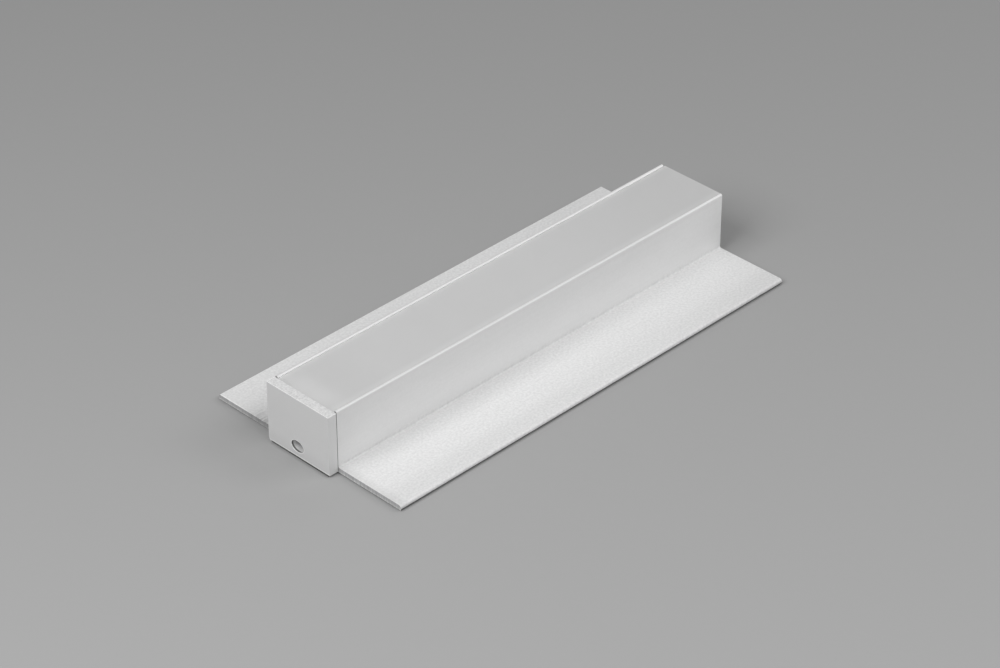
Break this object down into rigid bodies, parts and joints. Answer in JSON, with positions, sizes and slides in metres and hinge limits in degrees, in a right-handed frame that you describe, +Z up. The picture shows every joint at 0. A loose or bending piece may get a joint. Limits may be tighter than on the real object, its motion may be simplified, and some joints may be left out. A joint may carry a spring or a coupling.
{
  "type": "recessed aluminium led profile with diffuser and end cap",
  "caption": "Short U-shaped aluminium lighting channel with a flat wing on each side, an opal clip-in diffuser and an end cap with a cable hole.",
  "frame": {"origin": "bottom face, at the middle of the whole length and of the width", "axes": "+X along the channel away from the end cap, +Y across the wings, +Z up out of the diffuser"},
  "size_m": [0.1072, 0.0494, 0.0135],
  "materials": {
    "extrusion": "satin anodised, faint grain along the length",
    "diffuser": "opal, satin",
    "cap": "fine satin, bright broken edges"
  },
  "bodies": {
    "root": {"profile_extrusion": "extrusion", "diffuser_cover": "diffuser", "end_cap": "cap"}
  },
  "joints": []
}
